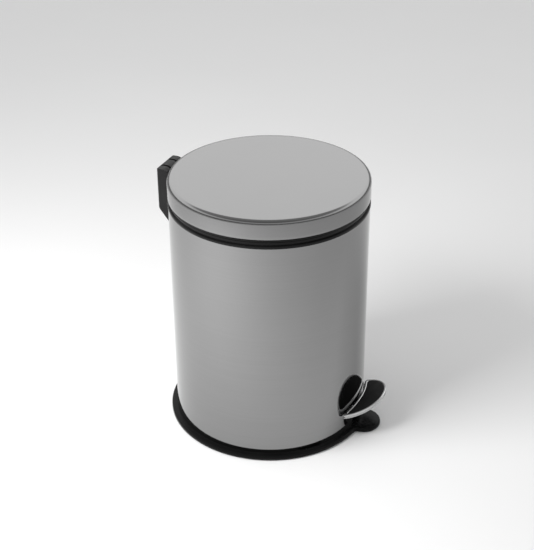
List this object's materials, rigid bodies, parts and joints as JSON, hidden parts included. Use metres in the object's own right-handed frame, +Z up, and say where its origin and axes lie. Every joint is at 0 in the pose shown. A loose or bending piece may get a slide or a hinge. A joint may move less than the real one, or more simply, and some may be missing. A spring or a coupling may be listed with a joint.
{
  "type": "pedal trash can",
  "caption": "Round stainless steel pedal bin with a hinged lid lifted by a foot lever and push rod, plastic rings and a removable inner bucket.",
  "frame": {"origin": "on the body's axis, in the plane of the anti-slip strip that stands on the floor", "axes": "+Z up, +Y towards the lid hinge, the pedal at -Y, +X to the right seen from the pedal"},
  "size_m": [0.218, 0.2504, 0.276],
  "materials": {
    "steel_body": "polished",
    "steel_lid": "satin",
    "gloss_black": "gloss",
    "base_black": "semi-gloss",
    "rubber_strip": "matte",
    "zinc_sheet": "zinc plated",
    "zinc_fasteners": "zinc plated",
    "zinc_lever": "zinc plated",
    "pedal_steel": "polished",
    "pedal_rubber": "matte",
    "rod_wire": "drawn wire",
    "guide_plastic": "matte",
    "housing_black": "fine texture",
    "bucket_plastic": "satin",
    "grip_plastic": "satin"
  },
  "bodies": {
    "can": {"body_shell": "steel_body", "top_ring": "gloss_black", "base_ring": "base_black", "anti_slip_strip": "rubber_strip", "bottom_plate": "zinc_sheet", "plate_screws": "zinc_fasteners", "lever_bracket": "zinc_sheet", "bracket_rivets": "zinc_fasteners", "lever_pin": "zinc_fasteners", "pin_clip": "zinc_fasteners", "rod_guide": "guide_plastic", "hinge_housing": "housing_black", "housing_screws": "zinc_fasteners", "hinge_pin": "zinc_fasteners"},
    "lid": {"lid_shell": "steel_lid", "lid_bracket": "zinc_sheet", "lid_rivets": "zinc_fasteners", "lid_buffers": "rubber_strip"},
    "rod": {"push_rod": "rod_wire", "rod_retainers": "zinc_fasteners"},
    "pedal": {"pedal_lever": "zinc_lever", "pedal_tray": "pedal_steel", "pedal_pad": "pedal_rubber", "pedal_rivets": "zinc_fasteners"},
    "bucket": {"bucket": "bucket_plastic"},
    "bail": {"bail_handle": "rod_wire", "bail_grip": "grip_plastic"}
  },
  "joints": [
    {"name": "lid_hinge", "type": "hinge", "parent": "can", "child": "lid", "pos_m": [0, 0.1123, 0.2605], "axis": [-1, 0, 0], "range_deg": [0, 75]},
    {"name": "rod_slide", "type": "slide", "parent": "can", "child": "rod", "axis": [0, 0, 1], "range_m": [0, 0.0214]},
    {"name": "pedal_hinge", "type": "hinge", "parent": "can", "child": "pedal", "pos_m": [0, -0.025, 0.01], "axis": [1, 0, 0], "range_deg": [0, 9.87]},
    {"name": "bucket_lift", "type": "slide", "parent": "can", "child": "bucket", "axis": [0, 0, 1], "range_m": [0, 0.0025]},
    {"name": "bail_swing", "type": "hinge", "parent": "bucket", "child": "bail", "pos_m": [0, 0, 0.2666], "axis": [-1, 0, 0], "range_deg": [0, 1.5]}
  ],
  "couplings": [
    {"joint": "rod_slide", "follows": "lid_hinge", "m_per_rad": 0.016348},
    {"joint": "pedal_hinge", "follows": "lid_hinge", "ratio": 0.1316}
  ]
}
